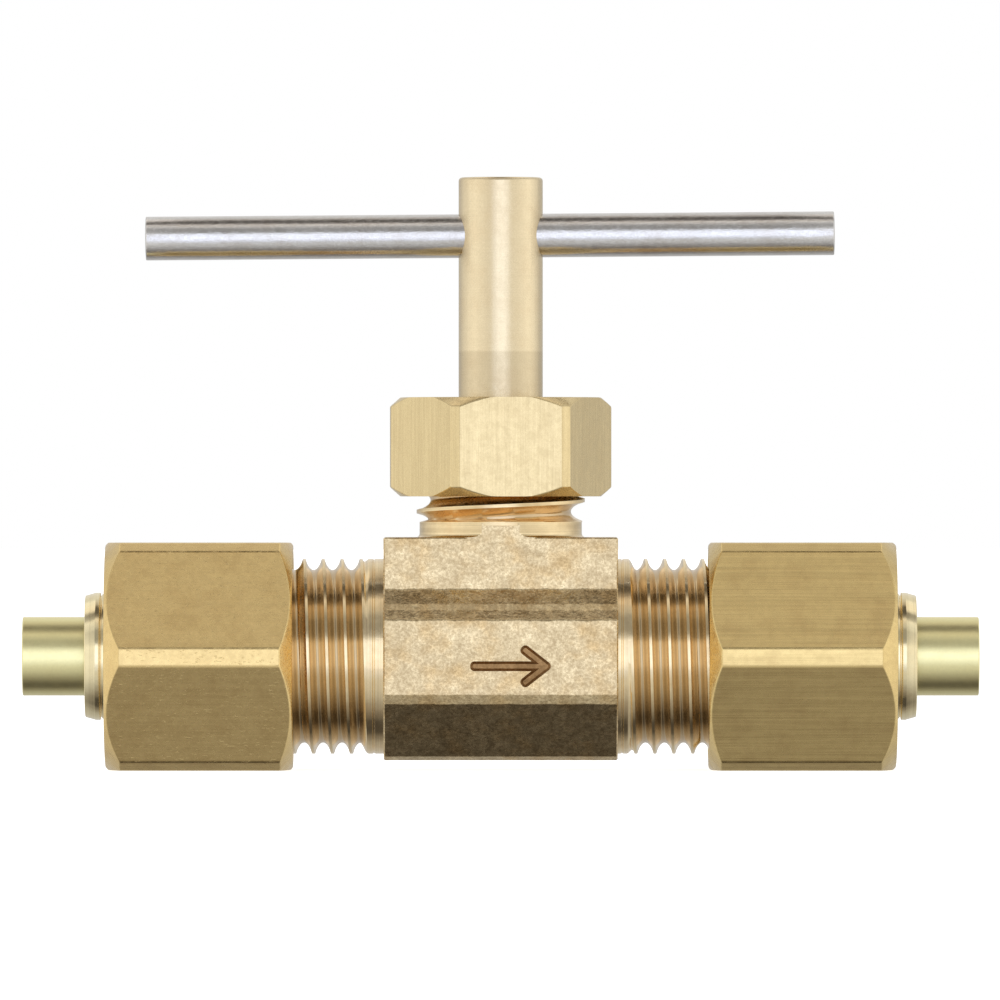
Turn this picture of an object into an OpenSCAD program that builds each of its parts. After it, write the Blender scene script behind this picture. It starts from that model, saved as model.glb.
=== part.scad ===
// Brass needle valve for 1/4 inch tube, with a cross-bar handle.
// The run lies along X with the inlet at -X, the stem rises along Z, and the
// whole valve rests on the flats of its two compression nuts at z = 0.
// Distances "along the run" are measured outward from the stem axis, and
// heights inside the modules are measured from the run axis.

/* [Body] */
// Length of the body block along the run
body_len = 13.04; // [12.6:0.01:13.4]
// Width across the flats of the eight-sided bar the body is cut from
body_across = 11.56; // [11.3:0.01:11.9]
// Height of the block above the run axis
body_top = 6.65; // [6.5:0.01:6.9]
// Thickness of the upright web that carries the neck
web_t = 8.82; // [8.6:0.01:9.1]
// Height at which the front face ends and the shoulder begins
face_top = 2.07; // [1.9:0.01:2.3]
// Height at which the shoulder meets the web
shoulder_top = 3.76; // [3.6:0.01:3.9]
// Height at which the web's two faces end on the neck
web_end = 7.3; // [7.1:0.01:7.4]
// Length worn off each side of the bar's long corners
corner_wear = 0.31; // [0.1:0.01:0.5]
// Depth of the stamped flow arrow
arrow_depth = 0.2; // [0.1:0.05:0.4]

/* [Run connections] */
// Outer diameter of the run thread, 7/16 inch nominal
run_thread_d = 10.9; // [10.7:0.01:11.1]
// Pitch of the run thread, 24 turns to the inch
run_pitch = 1.0583; // [1:0.0001:1.27]
// Depth of the run thread
run_thread_h = 0.62; // [0.5:0.01:0.7]
// Distance along the run to the first groove of the run thread
run_thread_start = 7.2; // [7:0.01:7.6]
// Distance along the run to the end face of the body
run_end = 16; // [15.9:0.01:16.1]
// Diameter of the tube socket, for tube of 6.35 mm
socket_d = 6.45; // [6.4:0.01:6.5]
// Distance along the run to the floor of the tube socket
socket_floor = 9.5; // [9.4:0.1:9.6]

/* [Flow path] */
// Diameter of the two drilled passages
passage_d = 2.6; // [2:0.1:2.8]
// Height of each passage axis above or below the run axis
passage_off = 1.8; // [1.75:0.01:1.85]
// Diameter of the orifice the needle closes
orifice_d = 2.2; // [2.2:0.01:2.3]
// Height of the seat, the floor of the valve chamber
seat_z = 0.4; // [0.35:0.01:0.45]
// Diameter of the valve chamber
chamber_d = 6.2; // [6:0.1:6.3]

/* [Neck] */
// Outer diameter of the neck thread
neck_thread_d = 9.4; // [9.3:0.01:9.5]
// Pitch of the neck thread, 20 turns to the inch
neck_pitch = 1.27; // [1.2:0.01:1.3]
// Depth of the neck thread
neck_thread_h = 0.78; // [0.6:0.01:0.8]
// Height of the turned band under the neck thread
neck_relief_h = 0.9; // [0.8:0.01:1]
// Diameter of the turned band under the neck thread
neck_band_d = 9.06; // [9:0.01:9.2]
// Height of the top of the neck
neck_top = 11.6; // [11.55:0.01:11.6]
// Diameter of the packing bore inside the neck
neck_bore_d = 6.3; // [6.3:0.01:6.4]

/* [Stem] */
// Diameter of the stem rod
rod_d = 4.7; // [4.6:0.01:4.76]
// Height of the top of the stem with the valve closed
stem_top = 26.75; // [26:0.05:28]
// Outer diameter of the stem thread
stem_thread_d = 5.8; // [5.7:0.01:5.8]
// Pitch of the stem thread, 28 turns to the inch
stem_pitch = 0.907; // [0.85:0.001:0.95]
// Depth of the stem thread
stem_thread_h = 0.5; // [0.4:0.01:0.55]
// Half angle of the needle point
needle_angle = 20; // [18:1:22]

/* [Handle] */
// Diameter of the steel cross bar
bar_d = 2.44; // [2.35:0.01:2.5]
// Length of the cross bar
bar_len = 38.5; // [34:0.5:42]
// Height of the cross bar's axis
bar_z = 23.49; // [22:0.01:25]
// Offset of the bar's middle from the stem axis
bar_shift = -0.6; // [-1:0.01:1]
// Tilt of the bar and its hole from level, rising to the right
bar_tilt = 0.45; // [0:0.01:0.5]

/* [Packing nut] */
// Width across the flats of the packing nut
gland_af = 11; // [10.9:0.01:11.2]
// Height of the packing nut's lower face
gland_nut_z = 8.93; // [8.9:0.01:9]
// Height of the packing nut's upper face
gland_nut_top = 14.46; // [14.3:0.01:14.8]
// Turn of the packing nut about the stem, 30 with a flat square to the front
gland_spin = 36; // [0:1:59]

/* [Compression nuts] */
// Width across the flats of a compression nut, 1/2 inch
nut_af = 12.7; // [12.5:0.1:13]
// Distance along the run to a compression nut's inner face
nut_inner = 11.6; // [11.5:0.01:11.7]
// Distance along the run to a compression nut's outer face
nut_outer = 22.07; // [21.9:0.01:22.2]
// Width of the facets along a compression nut's corners
nut_facet = 0.97; // [0.5:0.01:1.2]
// Diameter of the hole in a compression nut's outer end
nut_hole_d = 7.05; // [7.05:0.01:7.1]

/* [Captive sleeves] */
// Bore of the sleeve, for tube of 6.35 mm
sleeve_bore_d = 6.4; // [6.38:0.01:6.45]
// Largest diameter of the sleeve, inside the nut
sleeve_d = 8.6; // [8.2:0.1:9]
// Diameter of the sleeve's neck in the nut's hole
sleeve_neck_d = 6.98; // [6.95:0.01:7]
// Diameter of the barb that keeps the sleeve in the nut
sleeve_barb_d = 7.13; // [7.1:0.01:7.2]
// Distance along the run to the sleeve's outer end
sleeve_end = 23.2; // [23:0.1:23.5]

/* [Tube inserts] */
// Outer diameter of an insert's barrel
insert_d = 4.4; // [4.3:0.01:4.45]
// Bore of an insert
insert_bore_d = 3.5; // [3.2:0.1:3.7]
// Diameter of an insert's flange
insert_flange_d = 6.3; // [6.2:0.01:6.3]
// Distance along the run to an insert's inner end
insert_start = 13.5; // [13.4:0.1:13.6]
// Distance along the run to an insert's outer end
insert_end = 26.7; // [25:0.1:30]

/* [Hidden] */
$fn = 96;
EPS = 0.01;
run_z = nut_af / 2;
body_half = body_len / 2;
flat_half = body_across / 2 * tan(22.5);
passage_r = passage_d / 2;
drill_angle = 59;

// The seal stack between the neck and the packing nut's roof
stack_gap = 0.02;
support_h = 0.4;
packing_h = 0.8;
gland_h = 0.3;
support_z = neck_top + stack_gap;
packing_z = support_z + support_h + stack_gap;
gland_z = packing_z + packing_h + stack_gap;
roof_z = gland_z + gland_h + stack_gap;
stack_d = neck_thread_d;

// Running clearances, measured on the diameter
thread_play = 0.1;
rod_play = 0.1;

// Features along the stem, from the needle upward
stem_thread_z = 2.3;
ring_groove_z = 7.05;
ring_groove_w = 1.1;
ring_section_d = 1;
ring_groove_d = neck_bore_d - 2 * ring_section_d - 0.08;
stem_collar_top = 8.75;
thread_bore_z = 3.4;
neck_bore_z = 6.8;

body_brass = "#b39c6f";
nut_brass = "#a88f55";
gland_brass = "#c2a873";
stem_brass = "#d9c491";
sleeve_brass = "#c49a45";
insert_brass = "#d8d3a0";
bar_steel = "#9a9791";
seal_rubber = "#2b2b2b";
packing_white = "#eceae4";

// ---- Outlines ----

function unit(v) = v / norm(v);

// The arc of radius r that rounds corner b between its neighbours a and c
function corner_arc(a, b, c, r, steps) =
    let (
        to_a = unit(a - b),
        to_c = unit(c - b),
        half = acos(to_a * to_c) / 2,
        centre = b + unit(to_a + to_c) * r / sin(half),
        first = unit(b + to_a * r / tan(half) - centre),
        last = unit(b + to_c * r / tan(half) - centre),
        turn = 180 - 2 * half
    )
    [
        for (k = [0:steps])
            let (t = turn * k / steps)
            centre + r * (sin(turn - t) * first + sin(t) * last) / sin(turn)
    ];

// A closed outline through corners [x, y, radius], each rounded to its radius
function rounded(corners, steps = 6) =
    let (n = len(corners))
    [
        for (i = [0:n - 1])
            let (
                a = corners[(i + n - 1) % n],
                b = corners[i],
                c = corners[(i + 1) % n]
            )
            each b[2] > 0
                ? corner_arc([a.x, a.y], [b.x, b.y], [c.x, c.y], b[2], steps)
                : [[b.x, b.y]]
    ];

// Corners of a hexagon whose own corners are cut to facets, one of them on +Y
function hexagon(across, facet, corner_r) =
    let (r = across / 2 / cos(30) - facet / 2 * tan(30))
    [
        for (i = [0:5], half = [-facet / 2, facet / 2])
            let (angle = 30 + 60 * i)
            [r * cos(angle) - half * sin(angle), r * sin(angle) + half * cos(angle), corner_r]
    ];

// A thread drawn as ring grooves: [radius, distance] points from start onward
function thread_rings(d, h, start, pitch, count) =
    let (groove = [[0, 0], [h, 0.28], [h, 0.58], [0, 0.86]])
    [
        for (i = [0:count - 1], p = groove)
            [d / 2 - p[0], start + (i + p[1]) * pitch]
    ];

// ---- Shared shapes ----

// Lifts children from the run axis to their height above the resting plane
module at_run() {
    translate([0, 0, run_z]) children();
}

// Turns [radius, distance] points about the stem axis
module turned(points) {
    rotate_extrude() polygon(points);
}

// Lays children out along the run: 1 is the outlet side and -1 the inlet side
module on_side(side) {
    at_run() mirror([side < 0 ? 1 : 0, 0, 0]) rotate([0, 90, 0]) children();
}

// A round washer about the stem axis
module ring(outer_d, inner_d, z, h) {
    difference() {
        translate([0, 0, z]) cylinder(d = outer_d, h = h);
        translate([0, 0, z - 1]) cylinder(d = inner_d, h = h + 2);
    }
}

// A hexagonal bar from z0 to z1 with faceted corners and turned ends.
// The turned ends start at diameter face_d and rise by low and high.
module hex_bar(across, facet, corner_r, z0, z1, face_d, low, high) {
    reach = across / 2 / cos(30) - face_d / 2;
    wide = face_d / 2 + reach + EPS;
    intersection() {
        translate([0, 0, z0]) linear_extrude(z1 - z0)
            polygon(rounded(hexagon(across, facet, corner_r)));
        turned([
            [0, z0],
            [face_d / 2, z0],
            [wide, z0 + low * (reach + EPS) / reach],
            [wide, z1 - high * (reach + EPS) / reach],
            [face_d / 2, z1],
            [0, z1]
        ]);
    }
}

// ---- Body ----

// The block: an eight-sided bar milled to a web above its shoulders
module body_block() {
    h = body_across / 2;
    web = web_t / 2;
    worn = corner_wear * sin(45);
    side = [
        [flat_half - corner_wear, -h, 0.15],
        [flat_half + worn, worn - h, 0.15],
        [h - worn, -flat_half - worn, 0.15],
        [h, corner_wear - flat_half, 0.15],
        [h, face_top, 0.3],
        [h - 0.45, face_top + 0.54, 0.6],
        [web + 0.72, shoulder_top - 0.82, 0.6],
        [web, shoulder_top, 0.2],
        [web, body_top, 0]
    ];
    other = [for (i = [len(side) - 1:-1:0]) [-side[i][0], side[i][1], side[i][2]]];
    translate([-body_half, 0, 0]) rotate([90, 0, 90])
        linear_extrude(body_len) polygon(rounded(concat(side, other)));
}

// One threaded end of the body, along +Z
module nipple() {
    rings = floor((run_end - run_thread_start - 0.3) / run_pitch);
    r = run_thread_d / 2;
    turned(concat(
        [[0, body_half - 0.5], [r, body_half - 0.5]],
        thread_rings(run_thread_d, run_thread_h, run_thread_start, run_pitch, rings),
        [[r - 0.45, run_end], [0, run_end]]
    ));
}

// The neck is wider than the web, so the web's two faces cut short flats at its foot
module neck() {
    thread_z = body_top + neck_relief_h;
    rings = floor((neck_top - thread_z - 0.2) / neck_pitch);
    r = neck_thread_d / 2;
    band_r = neck_band_d / 2;
    foot = 0.2;
    difference() {
        turned(concat(
            [
                [0, body_top - 1],
                [band_r + foot, body_top - 1],
                [band_r + foot, body_top],
                [band_r, body_top + foot],
                [band_r, thread_z - 0.1]
            ],
            thread_rings(neck_thread_d, neck_thread_h, thread_z, neck_pitch, rings),
            [[r, neck_top - 0.3], [r - 0.3, neck_top], [0, neck_top]]
        ));
        for (side = [0, 1]) mirror([0, side, 0])
            translate([-r, web_t / 2, body_top - 2]) cube([2 * r, r, web_end - body_top + 2]);
    }
}

// The tube socket with its tapered mouth, along +Z
module tube_socket() {
    mouth = 1;
    flare = 0.975;
    r = socket_d / 2;
    turned([
        [0, socket_floor],
        [r, socket_floor],
        [r, run_end - mouth],
        [r + flare, run_end],
        [r + flare, run_end + 1],
        [0, run_end + 1]
    ]);
}

// A drilled passage along +X from x = 0 to the socket floor
module passage(z, back) {
    translate([-back, 0, z]) rotate([0, 90, 0]) cylinder(r = passage_r, h = socket_floor + back + 0.5);
}

// The drill point beyond a passage's inner end
module drill_point(z, back) {
    point_h = passage_r / tan(drill_angle);
    translate([-back, 0, z]) rotate([0, -90, 0]) cylinder(r1 = passage_r, r2 = 0, h = point_h);
}

// The bores the stem works in, about the stem axis
module stem_bores() {
    translate([0, 0, -passage_off]) cylinder(d = orifice_d, h = passage_off + seat_z + EPS);
    turned([
        [0, seat_z],
        [chamber_d / 2, seat_z],
        [chamber_d / 2, thread_bore_z],
        [(stem_thread_d + thread_play) / 2, thread_bore_z],
        [(stem_thread_d + thread_play) / 2, neck_bore_z],
        [neck_bore_d / 2, neck_bore_z],
        [neck_bore_d / 2, neck_top + 1],
        [0, neck_top + 1]
    ]);
}

// The flow arrow, pointing from inlet to outlet, stamped into the front face
module flow_arrow() {
    stroke = 0.55;
    shaft_len = 4.2;
    barb_len = 1.7;
    barb_angle = 38;
    tip = [2.5, -0.5];
    translate([0, -body_across / 2 + arrow_depth, 0]) rotate([90, 0, 0])
        linear_extrude(arrow_depth + 1) translate(tip) {
            translate([-shaft_len, -stroke / 2]) square([shaft_len - stroke, stroke]);
            for (turn = [-1, 1]) rotate(180 + turn * barb_angle)
                translate([0, -stroke / 2]) square([barb_len, stroke]);
        }
}

module valve_body() {
    inlet_back = orifice_d / 2;
    color(body_brass) difference() {
        union() {
            at_run() body_block();
            at_run() neck();
            for (side = [-1, 1]) on_side(side) nipple();
        }
        for (side = [-1, 1]) on_side(side) tube_socket();
        at_run() {
            passage(passage_off, 0);
            mirror([1, 0, 0]) {
                passage(-passage_off, inlet_back);
                drill_point(-passage_off, inlet_back);
            }
            stem_bores();
            flow_arrow();
        }
    }
}

// ---- Stem and handle ----

// Lays children out along the bar's axis, from the stem axis toward +X
module at_bar() {
    translate([0, 0, bar_z]) rotate([0, 90 - bar_tilt, 0]) children();
}

// The stem from its needle point to its top, with a groove for the O-ring
module stem() {
    r = stem_thread_d / 2;
    rod_r = rod_d / 2;
    seat_r = orifice_d / 2 - 0.015;
    tip_r = 0.35;
    base_r = 1.7;
    edge = 0.2;
    rings = floor((ring_groove_z - stem_thread_z - 0.4) / stem_pitch);
    color(stem_brass) at_run() difference() {
        turned(concat(
            [
                [0, seat_z - (seat_r - tip_r) / tan(needle_angle)],
                [tip_r, seat_z - (seat_r - tip_r) / tan(needle_angle)],
                [base_r, seat_z + (base_r - seat_r) / tan(needle_angle)],
                [r - stem_thread_h, stem_thread_z - 0.2]
            ],
            thread_rings(stem_thread_d, stem_thread_h, stem_thread_z, stem_pitch, rings),
            [
                [r, ring_groove_z],
                [ring_groove_d / 2, ring_groove_z],
                [ring_groove_d / 2, ring_groove_z + ring_groove_w],
                [r, ring_groove_z + ring_groove_w],
                [r, stem_collar_top],
                [rod_r, stem_collar_top],
                [rod_r, stem_top - edge],
                [rod_r - edge, stem_top],
                [0, stem_top]
            ]
        ));
        at_bar() translate([0, 0, -rod_d]) cylinder(d = bar_d + 2 * EPS, h = 2 * rod_d);
    }
}

// The cross bar, a cut length of round steel staked in the stem
module handle_bar() {
    edge = 0.12;
    r = bar_d / 2;
    color(bar_steel) at_run() at_bar() translate([0, 0, bar_shift - bar_len / 2])
        turned([
            [0, 0],
            [r - edge, 0],
            [r, edge],
            [r, bar_len - edge],
            [r - edge, bar_len],
            [0, bar_len]
        ]);
}

// The ring in the stem's groove that seals against the neck bore
module stem_o_ring() {
    color(seal_rubber) at_run() translate([0, 0, ring_groove_z + ring_groove_w / 2])
        rotate_extrude() translate([ring_groove_d / 2 + ring_section_d / 2 + EPS, 0])
            circle(d = ring_section_d, $fn = 48);
}

// ---- Packing ----

module packing_support_washer() {
    color(gland_brass) at_run() ring(stack_d, rod_d + rod_play, support_z, support_h);
}

module stem_packing() {
    color(packing_white) at_run() ring(stack_d, rod_d + rod_play / 2, packing_z, packing_h);
}

module gland_washer() {
    color(gland_brass) at_run() ring(stack_d, rod_d + rod_play, gland_z, gland_h);
}

module packing_nut() {
    facet = 0.55;
    corner_r = 0.15;
    face_d = 11.2;
    turned_h = 0.65;
    color(gland_brass) at_run() rotate([0, 0, gland_spin]) difference() {
        hex_bar(gland_af, facet, corner_r, gland_nut_z, gland_nut_top, face_d, turned_h, turned_h);
        translate([0, 0, gland_nut_z - 1])
            cylinder(d = neck_thread_d + thread_play, h = roof_z - gland_nut_z + 1);
        translate([0, 0, gland_nut_z]) cylinder(d = rod_d + rod_play, h = gland_nut_top);
    }
}

// ---- Tube connections ----

// A long compression nut: a plain cavity for the body's thread, then a cone
// that pushes the sleeve, then the hole the sleeve's tail comes out of
module compression_nut(side) {
    cavity_r = (run_thread_d + thread_play) / 2;
    hole_r = nut_hole_d / 2;
    cone_gap = 0.04;
    corner_r = 0.45;
    hole_start = sleeve_shoulder_z(hole_r) + cone_gap;
    cone_start = sleeve_shoulder_z(cavity_r) + cone_gap;
    color(nut_brass) on_side(side) difference() {
        hex_bar(nut_af, nut_facet, corner_r, nut_inner, nut_outer, 12.4, 0.9, 1.13);
        turned([
            [0, nut_inner - 1],
            [cavity_r, nut_inner - 1],
            [cavity_r, cone_start],
            [hole_r, hole_start],
            [hole_r, nut_outer + 1],
            [0, nut_outer + 1]
        ]);
    }
}

// Where the sleeve's shoulder cone has radius r, along the run
function sleeve_shoulder_z(r) = 19 + (sleeve_d / 2 - r) / 0.9;

// A sleeve: a tapered nose that the mouth of the socket squeezes onto the
// tube, a shoulder cone, a neck and a barbed tail outside the nut
module sleeve(side) {
    big_r = sleeve_d / 2;
    neck_r = sleeve_neck_d / 2;
    barb_r = sleeve_barb_d / 2;
    bore_r = sleeve_bore_d / 2;
    nose_z = 16.25;
    nose_h = 1.35;
    nose_wall = 0.1;
    groove_z = nut_outer + 0.18;
    groove_w = 0.09;
    groove_h = 0.07;
    barb_w = 0.26;
    tail_taper = 0.17;
    color(sleeve_brass) on_side(side) turned([
        [bore_r, nose_z],
        [bore_r + nose_wall, nose_z],
        [big_r, nose_z + nose_h],
        [big_r, sleeve_shoulder_z(big_r)],
        [neck_r, sleeve_shoulder_z(neck_r)],
        [neck_r, groove_z],
        [neck_r - groove_h, groove_z],
        [neck_r - groove_h, groove_z + groove_w],
        [barb_r, groove_z + groove_w],
        [barb_r, groove_z + groove_w + barb_w],
        [barb_r - tail_taper, sleeve_end],
        [bore_r, sleeve_end]
    ]);
}

// A flanged insert that keeps soft tube from collapsing under the sleeve
module tube_insert(side) {
    r = insert_d / 2;
    bore_r = insert_bore_d / 2;
    flange_r = insert_flange_d / 2;
    flange_h = 0.8;
    edge = 0.12;
    color(insert_brass) on_side(side) turned([
        [bore_r, insert_start],
        [flange_r - edge, insert_start],
        [flange_r, insert_start + edge],
        [flange_r, insert_start + flange_h],
        [r, insert_start + flange_h],
        [r, insert_end - edge],
        [r - edge, insert_end],
        [bore_r, insert_end]
    ]);
}

valve_body();
stem();
handle_bar();
stem_o_ring();
packing_support_washer();
stem_packing();
gland_washer();
packing_nut();
compression_nut(-1);  // inlet_compression_nut
compression_nut(1);  // outlet_compression_nut
sleeve(-1);  // inlet_sleeve
sleeve(1);  // outlet_sleeve
tube_insert(-1);  // inlet_tube_insert
tube_insert(1);  // outlet_tube_insert
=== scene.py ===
"""Brass needle valve for 1/4 inch tube: its looks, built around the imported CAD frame.

Lengths are in metres. The run lies along X, the stem rises along Z, and the front is at -Y.
Places come from the CAD nodes' boxes; only details too fine for the CAD are sized here.
"""

import math

import bmesh
import bpy
import numpy as np
from mathutils import Matrix, Vector


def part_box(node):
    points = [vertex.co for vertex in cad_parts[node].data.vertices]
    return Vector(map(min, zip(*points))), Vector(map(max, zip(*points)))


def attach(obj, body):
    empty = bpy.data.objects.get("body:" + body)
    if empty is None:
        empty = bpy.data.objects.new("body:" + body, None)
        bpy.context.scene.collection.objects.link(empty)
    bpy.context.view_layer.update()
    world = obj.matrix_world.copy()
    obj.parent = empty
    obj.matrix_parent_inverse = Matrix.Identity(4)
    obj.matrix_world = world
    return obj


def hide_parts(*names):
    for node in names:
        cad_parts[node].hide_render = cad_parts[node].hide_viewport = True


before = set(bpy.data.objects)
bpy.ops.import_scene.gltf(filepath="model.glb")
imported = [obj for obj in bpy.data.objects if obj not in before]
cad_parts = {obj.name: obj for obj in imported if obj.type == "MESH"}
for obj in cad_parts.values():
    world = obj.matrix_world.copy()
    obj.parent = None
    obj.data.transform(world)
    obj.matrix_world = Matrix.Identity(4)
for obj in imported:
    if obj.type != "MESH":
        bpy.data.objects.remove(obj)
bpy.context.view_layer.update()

MM = 0.001
TAU = 2 * math.pi

# ---- Places, from the frame ----

NUT_LOW, NUT_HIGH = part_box("outlet_compression_nut")
BODY_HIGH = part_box("valve_body")[1]
GLAND_LOW, GLAND_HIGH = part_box("packing_nut")
STEM_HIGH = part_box("stem")[1]
BAR_LOW, BAR_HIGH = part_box("handle_bar")
SLEEVE_LOW, SLEEVE_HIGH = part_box("outlet_sleeve")
INSERT_LOW, INSERT_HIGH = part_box("outlet_tube_insert")

RUN_Z = (NUT_LOW.z + NUT_HIGH.z) / 2
NUT_AF = NUT_HIGH.z - NUT_LOW.z
RUN_END = BODY_HIGH.x
BODY_R = BODY_HIGH.y
NECK_TOP = BODY_HIGH.z
STEM_TOP = STEM_HIGH.z - RUN_Z

# ---- Sizes the boxes do not give ----
# THREAD_START and TOP_CREST are distances from the stem's axis at the inlet, -1, and outlet, 1.
# TOP_CREST is where a crest of the thread passes over the top. WEB_END is above the run's axis.

BODY_HALF = 6.52 * MM
BLOCK_TOP = RUN_Z + 6.65 * MM
WEB_HALF = 4.41 * MM
WEB_END = 7.3 * MM
CORNER_WEAR = 0.31 * MM
SEAT = 0.4 * MM
NECK_BORE_R = 3.15 * MM
RUN_THREAD = {"radius": 5.45 * MM, "depth": 0.62 * MM, "pitch": 1.0583 * MM}
NECK_THREAD = {"radius": 4.70 * MM, "depth": 0.78 * MM, "pitch": 1.27 * MM}
STEM_THREAD = {"radius": 2.90 * MM, "depth": 0.50 * MM, "pitch": 0.907 * MM}
THREAD_START = {-1: 7.35 * MM, 1: 7.05 * MM}
TOP_CREST = {-1: 8.86 * MM, 1: 8.09 * MM}
THREAD_PLAY = 0.05 * MM
SOCKET_R = 3.225 * MM
SOCKET_FLOOR = 9.5 * MM
ROD_R = 2.35 * MM
BAR_R = 1.22 * MM
BAR_TILT = math.radians(0.45)
BAR_MIDDLE = (BAR_LOW + BAR_HIGH) / 2
BAR_HALF = (BAR_HIGH.x - BAR_LOW.x) / 2 / math.cos(BAR_TILT) - BAR_R * math.tan(BAR_TILT)
GLAND_AF = 11.0 * MM
GLAND_SPIN = math.radians(36)


# ---- Outlines and profiles ----

def unit(v):
    return v / np.linalg.norm(v)


def corner_arc(a, b, c, radius, steps):
    """The arc that rounds corner b between its neighbours a and c, as steps + 1 points."""
    a, b, c = (np.asarray(p, float) for p in (a, b, c))
    if radius <= 0:
        return np.repeat([b], steps + 1, axis=0)
    to_a, to_c = unit(a - b), unit(c - b)
    half = math.acos(np.clip(to_a @ to_c, -1, 1)) / 2
    centre = b + unit(to_a + to_c) * radius / math.sin(half)
    first = unit(b + to_a * radius / math.tan(half) - centre)
    last = unit(b + to_c * radius / math.tan(half) - centre)
    turn = math.pi - 2 * half
    t = np.linspace(0, turn, steps + 1)[:, None]
    return centre + radius * (np.sin(turn - t) * first + np.sin(t) * last) / math.sin(turn)


def rounded(corners, steps=4, closed=True):
    """Points through corners (x, y, radius), each rounded to its own radius."""
    n = len(corners)
    out = []
    for i, (x, y, radius) in enumerate(corners):
        inner = closed or 0 < i < n - 1
        before, after = corners[i - 1][:2], corners[(i + 1) % n][:2]
        out.append(corner_arc(before, (x, y), after, radius if inner else 0, steps))
    return np.vstack(out)


def subdivided(points, longest):
    """The closed outline with no edge longer than longest."""
    out = []
    for p, q in zip(points, np.roll(points, -1, axis=0)):
        count = max(1, math.ceil(np.linalg.norm(q - p) / longest))
        out += [p + (q - p) * k / count for k in range(count)]
    return np.array(out)


def hexagon(across, facet, edge, spin=0.0):
    """(angles, radii) of a hexagon whose corners are cut to facets, one on +Y before the spin."""
    far = across / 2 / math.cos(math.radians(30)) - facet / 2 * math.tan(math.radians(30))
    corners = []
    for k in range(6):
        turn = math.radians(30 + 60 * k) + spin
        for half in (-facet / 2, facet / 2):
            corners.append((far * math.cos(turn) - half * math.sin(turn),
                            far * math.sin(turn) + half * math.cos(turn), edge))
    longest = 0.35 * MM
    points = subdivided(rounded(corners, 5), longest)
    angles = np.arctan2(points[:, 1], points[:, 0]) % TAU
    order = np.argsort(angles)
    return angles[order], np.linalg.norm(points, axis=1)[order]


def circle(count=128):
    return np.arange(count) * TAU / count


# ---- Grids of quads, and the solids made of them ----

def lathe(angles, radii, along, closed=False):
    """Quads through rows of points about +Z. radii and along are (rows,) or (rows, angles)."""
    n = len(angles)
    radii = np.asarray(radii, float)
    along = np.asarray(along, float)
    if radii.ndim == 1:
        radii = np.repeat(radii[:, None], n, axis=1)
    if along.ndim == 1:
        along = np.repeat(along[:, None], n, axis=1)
    points = np.stack([radii * np.cos(angles), radii * np.sin(angles), along], axis=-1)
    rows = len(points)
    faces = []
    for j in range(rows if closed else rows - 1):
        k = (j + 1) % rows
        for i in range(n):
            m = (i + 1) % n
            faces.append((j * n + i, j * n + m, k * n + m, k * n + i))
    return points.reshape(-1, 3), faces


def thread(angles, start, end, pitch, radius_at, steps=14, phase=0.0):
    """A right-hand helix about +Z from start to end, squared off at both ends.

    radius_at(along, turn) gives the radius, where turn is the place across one groove, 0 to 1.
    The rows of quads follow the helix, so that its crest is one clean line.
    """
    n = len(angles)
    turns = angles / TAU
    shift = -(phase % 1)
    groove = np.linspace(0, 1, steps, endpoint=False)
    count = math.ceil((end - start) / pitch - shift) + 1
    place = (np.arange(-1, count)[:, None] + groove).reshape(-1, 1) + shift
    along = np.clip(start + (place + turns) * pitch, start, end)
    turn = ((along - start) / pitch - turns - shift) % 1
    radii = radius_at(along, turn)
    points = np.stack([radii * np.cos(angles), radii * np.sin(angles), along], axis=-1)
    rows = len(points)
    faces = []
    for j in range(rows - 1):
        for i in range(n):
            a, b = j, j + 1
            m = (i + 1) % n
            if m == 0:
                a, b = min(j + steps, rows - 1), min(j + 1 + steps, rows - 1)
            faces.append((j * n + i, a * n + m, b * n + m, (j + 1) * n + i))
    return points.reshape(-1, 3), faces


def solid(name, grids, place=None):
    """One closed mesh object from grids whose borders meet."""
    same = 0.0004 * MM
    bm = bmesh.new()
    for points, faces in grids:
        verts = [bm.verts.new(p) for p in points]
        for face in faces:
            # A helix ends in a few quads folded onto one edge, which are left out.
            if len(set(face)) == len(face):
                bm.faces.new([verts[i] for i in face])
    bmesh.ops.remove_doubles(bm, verts=bm.verts, dist=same)
    bmesh.ops.dissolve_degenerate(bm, edges=bm.edges, dist=same)
    loose = [v for v in bm.verts if not v.link_faces]
    bmesh.ops.delete(bm, geom=loose, context="VERTS")
    bmesh.ops.recalc_face_normals(bm, faces=bm.faces)
    if place is not None:
        bm.transform(place)
    mesh = bpy.data.meshes.new(name)
    bm.to_mesh(mesh)
    bm.free()
    obj = bpy.data.objects.new(name, mesh)
    bpy.context.scene.collection.objects.link(obj)
    return obj


def shade(obj, angle=32):
    """Smooth shading that keeps edges sharper than angle."""
    obj.data.shade_smooth()
    obj.data.set_sharp_from_angle(angle=math.radians(angle))
    weigh = obj.modifiers.new("normals", "WEIGHTED_NORMAL")
    weigh.keep_sharp = True


def combine(obj, operation, tools):
    """Joins the tools to obj, cuts them from it, or keeps what they share, and removes them."""
    for tool in tools:
        step = obj.modifiers.new(operation, "BOOLEAN")
        step.operation = operation
        step.solver = "MANIFOLD"
        step.object = tool
    bpy.context.view_layer.update()
    shaped = obj.evaluated_get(bpy.context.evaluated_depsgraph_get())
    mesh = bpy.data.meshes.new_from_object(shaped)
    obj.modifiers.clear()
    old = obj.data
    obj.data = mesh
    bpy.data.meshes.remove(old)
    mesh.name = obj.name
    for tool in tools:
        bpy.data.objects.remove(tool)


def triangulated(obj):
    bm = bmesh.new()
    bm.from_mesh(obj.data)
    bmesh.ops.triangulate(bm, faces=bm.faces)
    bm.to_mesh(obj.data)
    bm.free()
    return obj


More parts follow.
